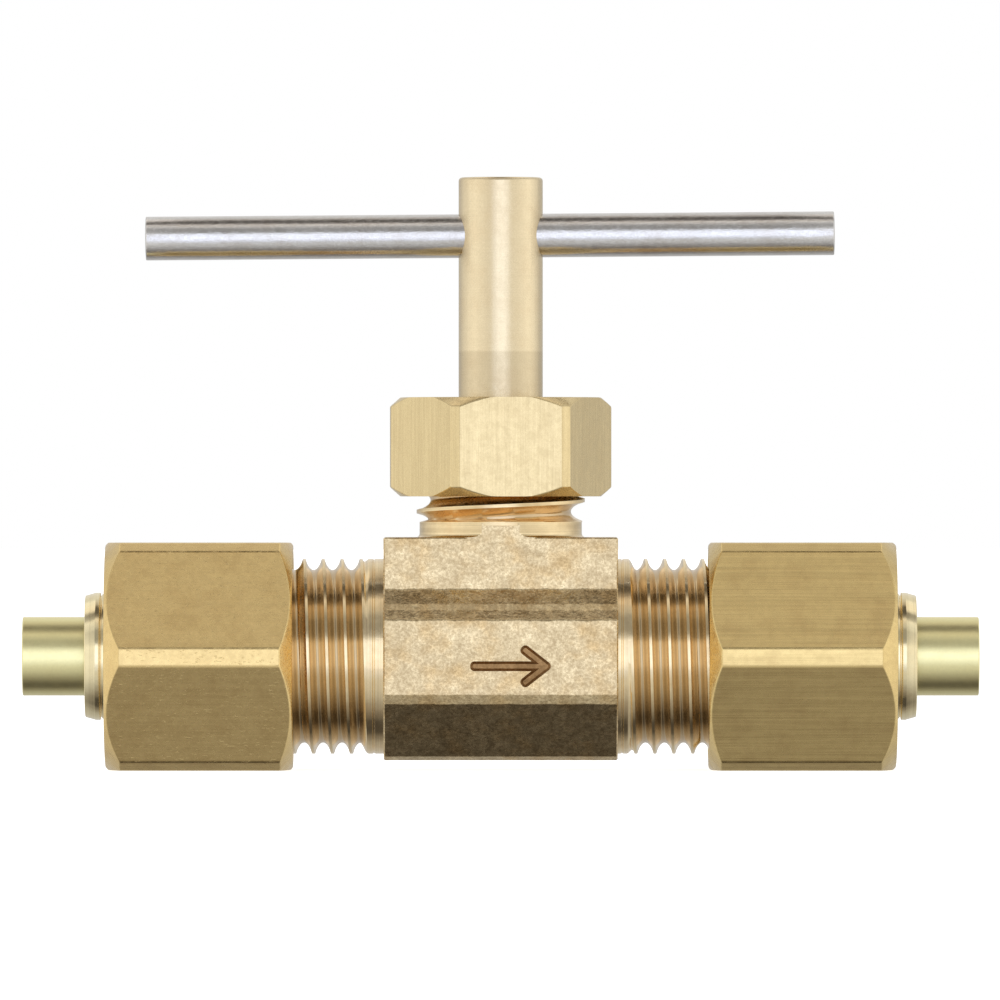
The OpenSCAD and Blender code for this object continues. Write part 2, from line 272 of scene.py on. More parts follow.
def turned(name, corners, place=None, steps=3, count=128, closed=False):
    """A solid of revolution about +Z through profile corners (radius, distance, rounding)."""
    profile = rounded(corners, steps, closed)
    return solid(name, [lathe(circle(count), profile[:, 0], profile[:, 1], closed)], place)


def drill(name, radius, start, end, place):
    """A plain round cutter from start to end along +Z, before it is placed."""
    return turned(name, [(0, start, 0), (radius, start, 0), (radius, end, 0), (0, end, 0)], place, 1, 64)


def prism(name, rows, place):
    """A solid through closed outlines of equal length, given as (outline, distance along +Z)."""
    n, last = len(rows[0][0]), len(rows) - 1
    points = np.vstack([np.column_stack([outline, np.full(n, z)]) for outline, z in rows])
    faces = [
        (j * n + i, j * n + (i + 1) % n, (j + 1) * n + (i + 1) % n, (j + 1) * n + i)
        for j in range(last)
        for i in range(n)
    ]
    faces += [tuple(range(n))[::-1], tuple(range(last * n, (last + 1) * n))]
    return solid(name, [(points, faces)], place)


def shrunk(outline, inset):
    """The closed outline, drawn anticlockwise, moved inward by the inset."""
    along = np.roll(outline, -1, axis=0) - np.roll(outline, 1, axis=0)
    inward = np.stack([-along[:, 1], along[:, 0]], axis=1)
    return outline + inward / np.linalg.norm(inward, axis=1)[:, None] * inset


def extruded(name, outline, low, high, place, chamfer=0.0):
    """A prism of the closed outline between low and high along +Z, with its end edges chamfered."""
    small = shrunk(outline, chamfer)
    rows = [(small, low), (outline, low + chamfer), (outline, high - chamfer), (small, high)]
    return prism(name, rows, place)


# ---- Placements ----

def along_run(side):
    """From +Z outward to the run: side 1 is the outlet, -1 the inlet. Both are pure turns."""
    return Matrix.Translation((0, 0, RUN_Z)) @ Matrix.Rotation(side * math.pi / 2, 4, "Y")


def up_stem():
    return Matrix.Translation((0, 0, RUN_Z))


def along_bar():
    return Matrix.Translation(BAR_MIDDLE) @ Matrix.Rotation(math.pi / 2 - BAR_TILT, 4, "Y")


# ---- Valve body ----

def groove_form(turn, crest=0.09, fullness=0.62):
    """How deep a thread groove is across one pitch, 0 at the crest to 1: a round-bottomed valley."""
    across = np.clip((turn - crest) / (1 - 2 * crest), 0, 1)
    return np.sin(math.pi * across) ** fullness


def eased(x):
    x = np.clip(x, 0, 1)
    return x * x * (3 - 2 * x)


def nipple(side):
    """One threaded end with its tube socket."""
    r, h, pitch = RUN_THREAD["radius"], RUN_THREAD["depth"], RUN_THREAD["pitch"]
    start, end = THREAD_START[side], RUN_END
    phase = (start - TOP_CREST[side]) / pitch + (0.5 if side > 0 else 0)
    root = BODY_HALF - 0.4 * MM
    tip = r - h - 0.05 * MM
    mouth_r, mouth_depth = 4.2 * MM, MM
    line, line_depth, line_width = start - 0.31 * MM, 0.04 * MM, 0.06 * MM
    fade_length, lead = 0.5 * pitch, 1.3
    angles = circle(160)

    def radius_at(along, turn):
        fade = eased((along - start) / fade_length)
        chamfer = tip + (end - along) * lead
        return np.minimum(r - h * groove_form(turn) * fade, chamfer)

    land = rounded([
        (0, root, 0), (r, root, 0), (r, line - line_depth, 0), (r - line_depth, line, 0),
        (r - line_depth, line + line_width, 0), (r, line + line_width + line_depth, 0), (r, start, 0),
    ], 1, False)
    inside = rounded([
        (tip, end, 0), (mouth_r, end, 0), (SOCKET_R, end - mouth_depth, 0), (SOCKET_R, SOCKET_FLOOR, 0),
        (0, SOCKET_FLOOR, 0),
    ], 1, False)
    return solid("nipple", [
        lathe(angles, land[:, 0], land[:, 1]),
        thread(angles, start, end, pitch, radius_at, phase=phase),
        lathe(angles, inside[:, 0], inside[:, 1]),
    ], along_run(side))


def ripple(x, seed):
    """An uneven wave from about -1 to 1 whose lengths are tenths of a millimetre to two."""
    waves = ((2.3, 0.45), (1.07, 0.35), (0.53, 0.3), (0.27, 0.25))
    return sum(a * np.sin(TAU * x / (w * MM) + seed * (k + 1.7)) for k, (w, a) in enumerate(waves))


def block():
    """The eight-sided bar, worn along its corners and milled roughly to a web above its shoulders."""
    flat = BODY_R * math.tan(math.radians(22.5))
    worn = CORNER_WEAR * math.sin(math.radians(45))
    milled_wave, edge_wave = 0.028 * MM, 0.0196 * MM
    chamfer, row_count = 0.07 * MM, 110
    side_top, web_foot = 2.07 * MM, 3.76 * MM
    ledge = [(5.33 * MM, 2.61 * MM, 0.5 * MM), (5.13 * MM, 2.94 * MM, 0.5 * MM)]
    half = [
        (flat - CORNER_WEAR, -BODY_R, 0.15 * MM), (flat + worn, worn - BODY_R, 0.2 * MM),
        (BODY_R - worn, -flat - worn, 0.2 * MM), (BODY_R, CORNER_WEAR - flat, 0.2 * MM),
        (BODY_R, side_top, 0.3 * MM), *ledge, (WEB_HALF, web_foot, 0.2 * MM),
        (WEB_HALF, BLOCK_TOP - RUN_Z, 0.1 * MM),
    ]
    outline = rounded(half + [(-x, y, r) for x, y, r in half[::-1]], 8)
    side, height = np.sign(outline[:, 0]), outline[:, 1]
    milled = (height > side_top - 0.17 * MM) & (height < web_foot + 0.24 * MM)
    edge = abs(height + flat) < 0.8 * MM
    rows = [(shrunk(outline, chamfer), -BODY_HALF)]
    for x in np.linspace(chamfer - BODY_HALF, BODY_HALF - chamfer, row_count):
        waved = outline.copy()
        waved[:, 1] += milled * milled_wave * ripple(x, 2.0 + side + 0.9 * height / MM)
        waved[:, 1] += edge * edge_wave * ripple(x, 5.0 + side)
        rows.append((waved, x))
    rows.append((shrunk(outline, chamfer), BODY_HALF))
    place = Matrix.Translation((0, 0, RUN_Z)) @ Matrix((
        (0, 0, 1, 0), (1, 0, 0, 0), (0, 1, 0, 0), (0, 0, 0, 1)))
    return prism("valve_block", rows, place)


def neck():
    """The threaded neck, whose foot is cut flat front and back by the web's faces."""
    r, h, pitch = NECK_THREAD["radius"], NECK_THREAD["depth"], NECK_THREAD["pitch"]
    base, band_height = BLOCK_TOP - RUN_Z, 0.85 * MM
    start, end = base + band_height, NECK_TOP - RUN_Z
    band, foot = r - 0.17 * MM, 0.25 * MM
    fade_length, lead = 0.12 * pitch, 1.2
    angles = circle(240)

    def radius_at(along, turn):
        fade = eased((along - start) / fade_length)
        chamfer = r - h + (end - along) * lead
        return np.minimum(r - (r - band) * (1 - fade) - h * groove_form(turn, 0.08) * fade, chamfer)

    low = rounded([
        (0, base - MM, 0), (band + foot, base - MM, 0), (band + foot, base, 0), (band, base, foot * 0.9),
        (band, start - 0.05 * MM, 0), (band, start, 0),
    ], 5, False)
    top = np.array([(r - h, end), (0, end)])
    thick = solid("neck", [
        lathe(angles, low[:, 0], low[:, 1]),
        thread(angles, start, end, pitch, radius_at, phase=0.04),
        lathe(angles, top[:, 0], top[:, 1]),
    ], up_stem())
    flats = []
    for side in (-1, 1):
        near, far = sorted((side * WEB_HALF, side * 1.5 * r))
        wide = 1.2 * r
        outline = np.array([(-wide, near), (wide, near), (wide, far), (-wide, far)])
        flats.append(extruded("neck_flat", outline, base - 2 * MM, WEB_END, up_stem()))
    combine(thick, "DIFFERENCE", flats)
    return thick


def flow_arrow():
    """The cutter that stamps the flow arrow into the front face."""
    stroke, soft_end, depth, slope = 0.55 * MM, 0.24 * MM, 0.2 * MM, 0.15 * MM
    tip = Vector((2.5 * MM, 0, -0.5 * MM))
    length, barb, spread = 4.2 * MM, 1.7 * MM, math.radians(38)
    front = Matrix.Translation((0, -BODY_R + depth, RUN_Z)) @ Matrix.Translation(tip)
    face = Matrix.Rotation(math.radians(90), 4, "X")

    def bar(name, x0, x1, turn):
        corners = [(x0, -stroke / 2), (x1, -stroke / 2), (x1, stroke / 2), (x0, stroke / 2)]
        outline = rounded([(x, y, soft_end) for x, y in corners], 5)
        return extruded(name, outline, 0, MM, front @ face @ Matrix.Rotation(turn, 4, "Z"), slope)

    shaft = bar("arrow_shaft", -length, 0, 0)
    barbs = [bar("arrow_barb", -stroke / 2, barb, math.pi + s * spread) for s in (-1, 1)]
    combine(shaft, "UNION", barbs)
    return shaft


def valve_body():
    orifice_r, passage_r, passage_off = 1.1 * MM, 1.3 * MM, 1.8 * MM
    chamber_r, chamber_top, thread_top = 3.1 * MM, 3.4 * MM, 6.8 * MM
    tapped_r = STEM_THREAD["radius"] + THREAD_PLAY
    over, into = MM, 0.5 * MM
    body = triangulated(block())
    combine(body, "UNION", [nipple(-1), nipple(1), neck()])
    bores = turned("stem_bores", [
        (0, SEAT, 0), (chamber_r, SEAT, 0), (chamber_r, chamber_top, 0), (tapped_r, chamber_top, 0),
        (tapped_r, thread_top, 0), (NECK_BORE_R, thread_top, 0),
        (NECK_BORE_R, NECK_TOP - RUN_Z + over, 0), (0, NECK_TOP - RUN_Z + over, 0),
    ], up_stem(), 1, 96)
    orifice = drill("orifice", orifice_r, -passage_off, SEAT + 0.1 * MM, up_stem())
    outlet = drill("outlet_passage", passage_r, 0, SOCKET_FLOOR + into,
                   Matrix.Translation((0, 0, passage_off)) @ along_run(1))
    inlet = drill("inlet_passage", passage_r, -orifice_r, SOCKET_FLOOR + into,
                  Matrix.Translation((0, 0, -passage_off)) @ along_run(-1))
    combine(body, "DIFFERENCE", [bores, orifice, outlet, inlet, flow_arrow()])
    body.name = "valve_body_brass"
    return body


# ---- Nuts ----

def hex_nut(name, across, facet, edge, spin, ends, face_r, slopes, inside, place):
    """A hexagon nut between ends along +Z, with turned ends and a bore profile inside.

    The inside is a list of profile corners from the outer face's hole back to the inner face.
    """
    angles, radii = hexagon(across, facet, edge, spin)
    low, high = ends
    least, softest = 0.001 * MM, 0.12 * MM
    rows_r, rows_z = [], []
    for far in radii:
        rim = min(face_r, far - least)
        soft = min(softest, (far - rim) * 0.8)
        corners = [
            (rim, low, soft), (far, low + (far - rim) * slopes[0], 1.2 * soft),
            (far, high - (far - rim) * slopes[1], 1.2 * soft), (rim, high, soft),
        ] + inside
        profile = rounded(corners, 4)
        rows_r.append(profile[:, 0])
        rows_z.append(profile[:, 1])
    grid = lathe(angles, np.array(rows_r).T, np.array(rows_z).T, closed=True)
    return solid(name, [grid], place)


def compression_nut(name, side):
    cavity = RUN_THREAD["radius"] + THREAD_PLAY
    low, high = NUT_LOW.x, NUT_HIGH.x
    hole, cone_end, cone_start = 3.525 * MM, 19.90 * MM, 17.71 * MM
    facet, edge, face_r, slopes = 0.97 * MM, 0.45 * MM, 6.2 * MM, (0.79, 1.0)
    rim, lead_r, lead = 0.12 * MM, cavity + 0.35 * MM, 0.45 * MM
    inside = [
        (hole + rim, high, 0.05 * MM), (hole, high - rim, 0.05 * MM), (hole, cone_end, 0),
        (cavity, cone_start, 0), (cavity, low + lead, 0), (lead_r, low, 0.05 * MM),
    ]
    return hex_nut(name, NUT_AF, facet, edge, 0, (low, high), face_r, slopes, inside, along_run(side))


def packing_nut():
    low, high = GLAND_LOW.z - RUN_Z, GLAND_HIGH.z - RUN_Z
    cavity = NECK_THREAD["radius"] + THREAD_PLAY
    hole, roof = ROD_R + 0.05 * MM, 13.18 * MM
    facet, edge, face_r, slopes = 0.55 * MM, 0.15 * MM, 5.6 * MM, (0.87, 0.87)
    rim, lead_r, lead = 0.1 * MM, cavity + 0.3 * MM, 0.35 * MM
    inside = [
        (hole + rim, high, 0.04 * MM), (hole, high - rim, 0), (hole, roof, 0), (cavity, roof, 0),
        (cavity, low + lead, 0), (lead_r, low, 0.05 * MM),
    ]
    return hex_nut("packing_nut_brass", GLAND_AF, facet, edge, GLAND_SPIN, (low, high), face_r, slopes,
                   inside, up_stem())


# ---- Stem and handle ----

def stem():
    r, h, pitch = STEM_THREAD["radius"], STEM_THREAD["depth"], STEM_THREAD["pitch"]
    seat_r, tip_r, cone_r = 1.085 * MM, 0.35 * MM, 1.7 * MM
    slope = 1 / math.tan(math.radians(20))
    tip = SEAT - (seat_r - tip_r) * slope
    start, end = 2.2 * MM, 6.6 * MM
    fade_length, lead = 0.6 * pitch, 1.5
    ring_r, ring_low, ring_high, collar_top = 2.11 * MM, 7.05 * MM, 8.15 * MM, 8.75 * MM
    angles = circle(128)

    def radius_at(along, turn):
        fade = eased((end - along) / fade_length)
        chamfer = r - h + (along - start) * lead
        return np.minimum(r - h * groove_form(turn, 0.1, 0.8) * fade, chamfer)

    point = rounded([
        (0, tip, 0), (tip_r, tip, 0.1 * MM), (cone_r, SEAT + (cone_r - seat_r) * slope, 0.1 * MM),
        (r - h, start, 0),
    ], 4, False)
    upper = rounded([
        (r, end, 0), (r, ring_low, 0.05 * MM), (ring_r, ring_low, 0.1 * MM), (ring_r, ring_high, 0.1 * MM),
        (r, ring_high, 0.05 * MM), (r, collar_top, 0.1 * MM), (ROD_R, collar_top, 0.05 * MM),
        (ROD_R, STEM_TOP, 0.2 * MM), (0, STEM_TOP, 0),
    ], 5, False)
    rod = solid("stem_brass_rod", [
        lathe(angles, point[:, 0], point[:, 1]),
        thread(angles, start, end, pitch, radius_at),
        lathe(angles, upper[:, 0], upper[:, 1]),
    ], up_stem())
    play, past = 0.02 * MM, 4 * MM
    hole = drill("bar_hole", BAR_R + play, -past, past, along_bar())
    combine(rod, "DIFFERENCE", [hole])
    return rod


def handle_bar():
    """A length of cut wire, with its ends worn round and a little dished."""
    parts, dished, worn = 12, 0.04 * MM, 0.03 * MM
    high_end = [(BAR_R, BAR_HALF - worn, 0.06 * MM), (BAR_R * 0.7, BAR_HALF, 0.2 * MM),
                (0, BAR_HALF - dished, 0)]
    low_end = [(r, -z, soft) for r, z, soft in high_end[::-1]]
    middle = [(BAR_R, BAR_HALF * (2 * k / parts - 1), 0) for k in range(1, parts)]
    return turned("handle_bar_steel", low_end + middle + high_end, along_bar(), 3, 96)


# ---- Tube connections ----

def sleeve(name, side):
    bore, big, neck_r = 3.2 * MM, 4.3 * MM, 3.49 * MM
    nose, shoulder, end = SLEEVE_LOW.x, 19.0 * MM, SLEEVE_HIGH.x
    nose_wall, nose_length, cone = 0.1 * MM, 1.35 * MM, 0.9 * MM
    groove, groove_r = NUT_HIGH.x + 0.18 * MM, neck_r - 0.09 * MM
    groove_start, groove_end = groove + 0.03 * MM, groove + 0.07 * MM
    barb, barb_start, barb_end, taper = 3.565 * MM, groove + 0.10 * MM, groove + 0.35 * MM, 0.17 * MM
    return turned(name, [
        (bore, nose, 0), (bore + nose_wall, nose, 0), (big, nose + nose_length, 0.15 * MM),
        (big, shoulder, 0.15 * MM), (neck_r, shoulder + cone, 0.1 * MM), (neck_r, groove, 0.02 * MM),
        (groove_r, groove_start, 0), (groove_r, groove_end, 0), (barb, barb_start, 0.03 * MM),
        (barb, barb_end, 0.1 * MM), (barb - taper, end, 0.06 * MM), (bore, end, 0.06 * MM),
    ], along_run(side), 4, 128, True)


def tube_insert(name, side):
    r, bore, flange = 2.2 * MM, 1.75 * MM, 3.15 * MM
    start, end, flange_end = INSERT_LOW.x, INSERT_HIGH.x, INSERT_LOW.x + 0.8 * MM
    return turned(name, [
        (bore, start, 0.05 * MM), (flange, start, 0.12 * MM), (flange, flange_end, 0.1 * MM),
        (r, flange_end, 0.05 * MM), (r, end, 0.07 * MM), (bore, end, 0.1 * MM),
    ], along_run(side), 4, 128, True)


# ---- Node trees ----

def node(tree, kind, inputs=None, **settings):
    made = tree.nodes.new(kind)
    for key, value in settings.items():
        setattr(made, key, value)
    for key, value in (inputs or {}).items():
        if isinstance(value, bpy.types.NodeSocket):
            tree.links.new(value, made.inputs[key])
        else:
            made.inputs[key].default_value = value
    return made


def calc(tree, operation, a, b=0.0, c=0.0):
    return node(tree, "ShaderNodeMath", {0: a, 1: b, 2: c}, operation=operation).outputs[0]


def smooth(tree, value, low, high, start=0.0, end=1.0):
    return node(tree, "ShaderNodeMapRange", {
        "Value": value, "From Min": low, "From Max": high, "To Min": start, "To Max": end,
    }, interpolation_type="SMOOTHSTEP").outputs["Result"]


def mixed(tree, factor, a, b, blend="MIX"):
    made = node(tree, "ShaderNodeMix", {"Factor": factor}, data_type="RGBA", blend_type=blend)
    for name, value in (("A", a), ("B", b)):
        socket = next(s for s in made.inputs if s.name == name and s.type == "RGBA")
        if isinstance(value, bpy.types.NodeSocket):
            tree.links.new(value, socket)
        else:
            socket.default_value = (*value, 1)
    return next(s for s in made.outputs if s.type == "RGBA")


def grain(tree, lengths, band=(0.3, 0.7), detail=3.0):
    """Noise from 0 to 1 whose features are lengths millimetres long along X, Y and Z of the piece."""
    place = node(tree, "ShaderNodeTexCoord").outputs["Object"]
    scale = [1 / (length * MM) for length in lengths]
    scaled = node(tree, "ShaderNodeVectorMath", {0: place, 1: scale}, operation="MULTIPLY").outputs[0]
    raw = node(tree, "ShaderNodeTexNoise", {"Vector": scaled, "Scale": 1.0, "Detail": detail,
                                            "Roughness": 0.6}).outputs["Fac"]
    return smooth(tree, raw, *band)


def even(length):
    return (length, length, length)


def new_material(name):
    material = bpy.data.materials.new(name)
    material.use_nodes = True
    material.node_tree.nodes.clear()
    return material, material.node_tree


def finish_material(tree, colour, roughness, height, metallic):
    bump = node(tree, "ShaderNodeBump", {"Strength": 1.0, "Distance": 1.0, "Height": height})
    shader = node(tree, "ShaderNodeBsdfPrincipled", {
        "Base Color": colour, "Metallic": metallic, "Roughness": roughness,
        "Normal": bump.outputs["Normal"],
    })
    node(tree, "ShaderNodeOutputMaterial", {"Surface": shader.outputs["BSDF"]})


# How much of each colour of the stained metal is left where marks and grime darken it, and in the painted
# shade at the roots of threads.
DIRT_AND_SHADE = (0.34, 0.30, 0.24)


def metal(name, clean, stained, roughness, layers, stain=0.5, valleys=None, dull_below=None,
          patchy=0.25):
    """A worn metal, with reflectances clean and stained.

    Each layer is (lengths, height, tone, band): marks of those lengths, so many micrometres high,
    that darken the metal by the share tone. Valleys is (keep, crest, depth, flank, tone): a thread
    whose flanks get the colour flank as painted light and shade of the groove's sides, and whose
    roots are darkened by the share tone as painted shade, keep leaving out its axis. Dull_below is
    (height, tone): darker under that height. Patchy is the share that the roughness varies by.
    """
    material, tree = new_material(name)
    dirt_and_shade = [c * share for c, share in zip(stained, DIRT_AND_SHADE)]
    blotch = grain(tree, even(1.7), (0.42, 0.72))
    colour = mixed(tree, calc(tree, "MULTIPLY", blotch, stain), clean, stained)
    height = 0.0
    for lengths, high, tone, band in layers:
        marks = grain(tree, lengths, band)
        height = calc(tree, "MULTIPLY_ADD", marks, high * 0.001 * MM, height)
        if tone:
            shadow = calc(tree, "MULTIPLY", calc(tree, "SUBTRACT", 1.0, marks), tone)
            colour = mixed(tree, shadow, colour, dirt_and_shade)
    place = node(tree, "ShaderNodeTexCoord").outputs["Object"]
    # The thread's flanks take a tint of their own, painted light and shade of the groove's sides, and its
    # roots are darkened: painted shade in the groove.
    if valleys:
        keep, crest, depth, painted_flank_light, tone = valleys
        offset = node(tree, "ShaderNodeVectorMath", {0: place, 1: (0, 0, RUN_Z)}, operation="SUBTRACT")
        across = node(tree, "ShaderNodeVectorMath", {0: offset.outputs[0], 1: keep}, operation="MULTIPLY")
        away = node(tree, "ShaderNodeVectorMath", {0: across.outputs[0]}, operation="LENGTH")
        depth_here = calc(tree, "SUBTRACT", crest, away.outputs["Value"])
        side = smooth(tree, depth_here, 0.12 * depth, 0.4 * depth)
        colour = mixed(tree, side, colour, painted_flank_light)
        colour = mixed(tree, smooth(tree, depth_here, 0.5 * depth, 0.95 * depth, 0, tone), colour, dirt_and_shade)
    if dull_below:
        limit, tone = dull_below
        blur = 0.15 * MM
        rise = node(tree, "ShaderNodeSeparateXYZ", {0: place}).outputs["Z"]
        colour = mixed(tree, smooth(tree, rise, limit, limit + blur, tone, 0), colour, dirt_and_shade)
    rough = smooth(tree, grain(tree, even(0.45)), 0, 1, roughness / (1 + patchy),
                   roughness * (1 + patchy))
    finish_material(tree, colour, rough, height, 1.0)
    return material


def dull(name, colour, roughness):
    """Rubber or plastic of the hidden seals, with a faint moulded grain."""
    material, tree = new_material(name)
    marks = grain(tree, even(0.15))
    tone = mixed(tree, marks, colour, [c * 0.8 for c in colour])
    high = 0.004 * MM
    finish_material(tree, tone, roughness, calc(tree, "MULTIPLY", marks, high), 0.0)
    return material


def paint(obj, material):
    obj.data.materials.clear()
    obj.data.materials.append(material)


# ---- Build ----

body = valve_body()
rod = stem()
bar = handle_bar()
gland_nut = packing_nut()
PIECES = [
    (body, "body", "body_brass", ["valve_body"]),
    (rod, "stem_and_handle", "stem_brass", ["stem"]),
    (bar, "stem_and_handle", "bar_steel", ["handle_bar"]),
    (gland_nut, "packing_nut_body", "gland_brass", ["packing_nut"]),
]
for end, side in (("inlet", -1), ("outlet", 1)):
    PIECES += [
        (compression_nut(end + "_nut_brass", side), end + "_nut_body", "nut_brass",
         [end + "_compression_nut"]),
        (sleeve(end + "_sleeve_brass", side), end + "_sleeve_body", "sleeve_brass", [end + "_sleeve"]),
        (tube_insert(end + "_insert_brass", side), end + "_insert_body", "insert_brass",
         [end + "_tube_insert"]),
    ]

# A length in millimetres past any piece's, and how hard the edges of marks are.
LONG = 15.0
SOFT, CRISP = (0.25, 0.75), (0.38, 0.62)
MATERIALS = {
    "body_brass": metal("body brass", (1.0, 0.82, 0.50), (0.76, 0.53, 0.25), 0.24, [
        (even(1.6), 8.0, 0.22, CRISP), (even(0.42), 5.0, 0.25, CRISP), (even(0.17), 3.5, 0.35, CRISP),
        (even(0.08), 1.0, 0.20, CRISP),
    ], 0.8),
    "stem_brass": metal("stem brass", (0.88, 0.74, 0.49), (0.82, 0.66, 0.42), 0.22, [
        ((LONG, LONG, 0.07), 0.4, 0.05, SOFT), ((0.4, 0.4, LONG), 1.5, 0.06, SOFT),
        (even(0.11), 0.6, 0.06, CRISP),
    ], dull_below=(RUN_Z + 16.95 * MM, 0.22)),
    "bar_steel": metal("bar steel", (0.86, 0.85, 0.84), (0.74, 0.70, 0.66), 0.19, [
        ((2.0, 0.12, 0.12), 1.0, 0.10, SOFT), ((0.35, 0.16, 0.16), 2.6, 0.14, SOFT),
        (even(0.10), 0.8, 0.10, CRISP),
    ]),
    "gland_brass": metal("gland brass", (0.95, 0.77, 0.43), (0.86, 0.67, 0.36), 0.25, [
        ((0.7, 0.7, LONG), 2.0, 0.10, SOFT), ((0.22, 0.22, 9.0), 1.0, 0.14, SOFT),
        ((0.08, 0.08, 3.0), 0.6, 0.18, SOFT), (even(0.12), 0.6, 0.08, CRISP),
    ], 0.25),
    "nut_brass": metal("nut brass", (0.93, 0.70, 0.32), (0.77, 0.55, 0.24), 0.25, [
        ((LONG, 0.30, 0.30), 2.0, 0.05, SOFT), (even(0.22), 1.2, 0.10, SOFT),
        ((0.35, 0.10, 0.10), 5.0, 0.0, (0.62, 0.70)), (even(0.10), 1.0, 0.10, SOFT),
    ]),
    "sleeve_brass": metal("sleeve brass", (1.0, 0.88, 0.56), (0.96, 0.76, 0.42), 0.11, [
        ((0.09, LONG, LONG), 1.2, 0.12, CRISP), (even(0.25), 1.0, 0.05, SOFT),
    ], 0.3),
    "insert_brass": metal("insert brass", (1.0, 0.925, 0.50), (0.98, 0.865, 0.43), 0.30, [
        ((LONG, 0.4, 0.4), 0.4, 0.06, SOFT), (even(0.15), 0.4, 0.08, SOFT),
    ], 0.3, patchy=0.06),
}
STREAKED_NUT = metal("streaked nut brass", (0.95, 0.73, 0.33), (0.77, 0.56, 0.25), 0.25, [
    ((LONG, 0.8, 0.8), 4.0, 0.10, SOFT), ((LONG, 0.20, 0.20), 2.0, 0.14, SOFT),
    ((7.0, 0.07, 0.07), 1.0, 0.16, SOFT), (even(0.10), 0.8, 0.06, SOFT),
])
# The threads of the run and the neck get painted light and shade in their grooves: a tint on the flanks and
# darker roots.
BODY_FINISHES = [
    metal("turned run", (1.0, 0.82, 0.51), (0.90, 0.66, 0.36), 0.16, [
        ((0.14, LONG, LONG), 1.5, 0.20, CRISP), (even(0.5), 1.0, 0.10, SOFT),
    ], 0.5, ((0, 1, 1), RUN_THREAD["radius"], RUN_THREAD["depth"], (1.0, 0.79, 0.49), 0.58)),
    metal("turned neck", (0.98, 0.79, 0.47), (0.85, 0.60, 0.32), 0.18, [
        ((LONG, LONG, 0.12), 1.5, 0.26, CRISP), (even(0.5), 1.0, 0.14, SOFT),
    ], 0.5, ((1, 1, 0), NECK_THREAD["radius"] - 0.18 * MM, NECK_THREAD["depth"], (0.87, 0.66, 0.40), 0.45)),
    metal("stamped mark", (0.42, 0.25, 0.11), (0.24, 0.13, 0.05), 0.35, [
        (even(0.12), 8.0, 0.40, SOFT),
    ]),
]


def body_finish(x, y, z):
    """Which finish the body has at a place: 0 drawn bar, 1 turned run, 2 turned neck, 3 stamped."""
    near, deep, mark = 0.01 * MM, 0.5 * MM, (3 * MM, 1.75 * MM)
    if abs(x) > BODY_HALF - near:
        return 1
    on_flat = abs(abs(y) - WEB_HALF) < near and z < RUN_Z + WEB_END
    if z > BLOCK_TOP + 2 * near and not on_flat:
        return 2
    stamped = 2 * near < y + BODY_R < deep
    return 3 if stamped and abs(x) < mark[0] and abs(z - RUN_Z) < mark[1] else 0


for obj, rides_on, slot, nodes in PIECES:
    shade(obj)
    paint(obj, STREAKED_NUT if obj.name == "outlet_nut_brass" else MATERIALS[slot])
    if obj is body:
        for finish in BODY_FINISHES:
            obj.data.materials.append(finish)
        for face in obj.data.polygons:
            face.material_index = body_finish(*face.center)
    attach(obj, rides_on)
    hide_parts(*nodes)

HIDDEN = {
    "stem_o_ring": dull("seal rubber", (0.02, 0.02, 0.02), 0.45),
    "stem_packing": dull("packing ptfe", (0.85, 0.84, 0.80), 0.5),
    "packing_support_washer": MATERIALS["gland_brass"],
    "gland_washer": MATERIALS["gland_brass"],
}
for name, material in HIDDEN.items():
    paint(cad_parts[name], material)


# ---- Studio ----

# Light the metal sees, as (angle in degrees, level). Angle 0 faces the camera.
# Pitch turns from the camera up over the object; bearing turns round it to the right.
PITCH_LIGHT = [
    (-180, 0.66), (-155, 0.54), (-135, 0.46), (-122, 0.36), (-112, 0.22), (-100, 0.075), (-84, 0.075),
    (-72, 0.21), (-60, 0.34), (-48, 0.50), (-38, 0.63), (-27, 0.68), (-18, 0.84), (-9, 1.22), (18, 1.22),
    (25, 0.45), (30, 0.32), (48, 0.34), (57, 0.60), (71, 0.83), (79, 0.23), (86, 0.11), (100, 0.12),
    (111, 0.46), (121, 0.66), (135, 0.76), (155, 0.80), (180, 0.85),
]
BEARING_LIGHT = [
    (-180, 0.54), (-150, 0.56), (-125, 0.78), (-110, 0.88), (-97, 1.03), (-75, 1.08), (-45, 0.95),
    (-30, 0.88), (-17, 1.05), (-7, 1.32), (7, 1.34), (14, 1.24), (19, 1.10), (30, 0.86), (45, 0.94),
    (60, 1.02), (84, 1.14), (100, 1.02), (118, 0.82), (132, 0.60), (150, 0.57), (180, 0.54),
]
BRIGHTEST = 1.4
# Tints: in general, straight above or below, and straight ahead.
NEUTRAL, WARM, COOL = (1.0, 0.99, 0.97), (1.0, 0.91, 0.82), (1.0, 1.05, 1.20)
# Two small panels high behind the object, left and right alike: their direction and light.
PANEL_TOWARDS, PANEL_LEVEL = (0.373, 0.355, 0.858), 0.95
# Where a panel or a tint starts and is full, as the cosine of the angle from its middle.
PANEL_EDGE, COOL_EDGE, WARM_EDGE = (0.93, 0.985), (0.86, 0.97), (0.75, 1.0)
# Keeps the bearing's share smooth straight ahead and behind, where it is nought over nought.
SOFT_SHARE = 0.0005


def light_round(tree, sine, cosine, stops):
    """The light at the angle whose sine and cosine are given, read from the stops."""
    angle = calc(tree, "MULTIPLY_ADD", calc(tree, "ARCTAN2", sine, cosine), 1 / TAU, 0.5)
    made = node(tree, "ShaderNodeValToRGB", {"Fac": angle})
    made.color_ramp.interpolation = "EASE"
    for degrees, level in stops[1:-1]:
        made.color_ramp.elements.new(degrees / 360 + 0.5)
    for element, (degrees, level) in zip(made.color_ramp.elements, stops):
        grey = level / BRIGHTEST
        element.color = (grey, grey, grey, 1)
    return made.outputs["Color"]


